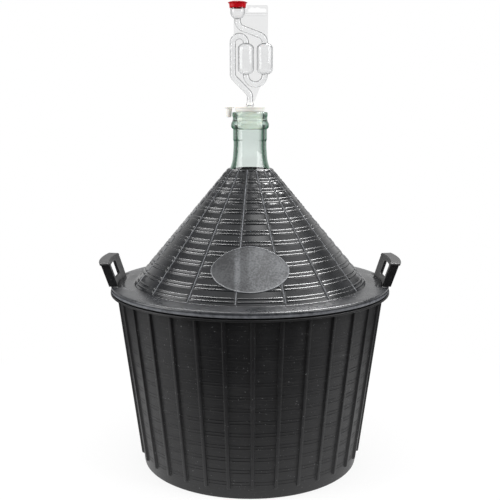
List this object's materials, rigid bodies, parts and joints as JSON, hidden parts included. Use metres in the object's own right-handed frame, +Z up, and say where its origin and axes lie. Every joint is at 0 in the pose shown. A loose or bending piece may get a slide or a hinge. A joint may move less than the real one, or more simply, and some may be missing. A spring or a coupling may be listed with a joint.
{
  "type": "demijohn in a plastic basket",
  "caption": "Large glass demijohn in a black ribbed basket with a ringed cone cover and hand grips, closed by a bored rubber bung that holds a clear fermentation airlock with a red cap.",
  "frame": {"origin": "centre of the standing ring under the basket, on the surface it stands on", "axes": "+Z up along the neck; -Y is the front, with the oval plate; the hand grips are at -X and +X; the bung's spare plug points to -X"},
  "size_m": [0.5684, 0.528, 0.8654],
  "materials": {
    "tub_plastic": "semi-matt black injection moulding",
    "cover_plastic": "satin black injection moulding",
    "green_glass": "clear blown glass with a green tint",
    "white_rubber": "smooth food-grade rubber",
    "clear_plastic": "clear polished moulding",
    "red_plastic": "glossy moulding"
  },
  "bodies": {
    "basket": {"basket_tub": "tub_plastic", "left_handle": "tub_plastic", "right_handle": "tub_plastic"},
    "glass": {"glass_demijohn": "green_glass"},
    "cover": {"basket_cover": "cover_plastic"},
    "bung": {"bung": "white_rubber"},
    "plug": {"bung_plug": "white_rubber"},
    "airlock": {"airlock_body": "clear_plastic", "airlock_cup": "clear_plastic"},
    "dust_cap": {"airlock_cap": "red_plastic"}
  },
  "joints": [
    {"name": "glass_lift", "type": "slide", "parent": "basket", "child": "glass", "axis": [0, 0, 1], "range_m": [0, 0.42]},
    {"name": "cover_lift", "type": "slide", "parent": "glass", "child": "cover", "axis": [0, 0, 1], "range_m": [0, 0.088]},
    {"name": "bung_pull", "type": "slide", "parent": "glass", "child": "bung", "axis": [0, 0, 1], "range_m": [0, 0.05]},
    {"name": "plug_swing", "type": "hinge", "parent": "bung", "child": "plug", "pos_m": [-0.0289, 0, 0.676], "axis": [0, 1, 0], "range_deg": [0, 90], "stiffness_Nm_per_rad": 0.01},
    {"name": "airlock_pull", "type": "slide", "parent": "bung", "child": "airlock", "axis": [0, 0, 1], "range_m": [0, 0.06]},
    {"name": "cap_lift", "type": "slide", "parent": "airlock", "child": "dust_cap", "axis": [0, 0, 1], "range_m": [0, 0.03]}
  ]
}
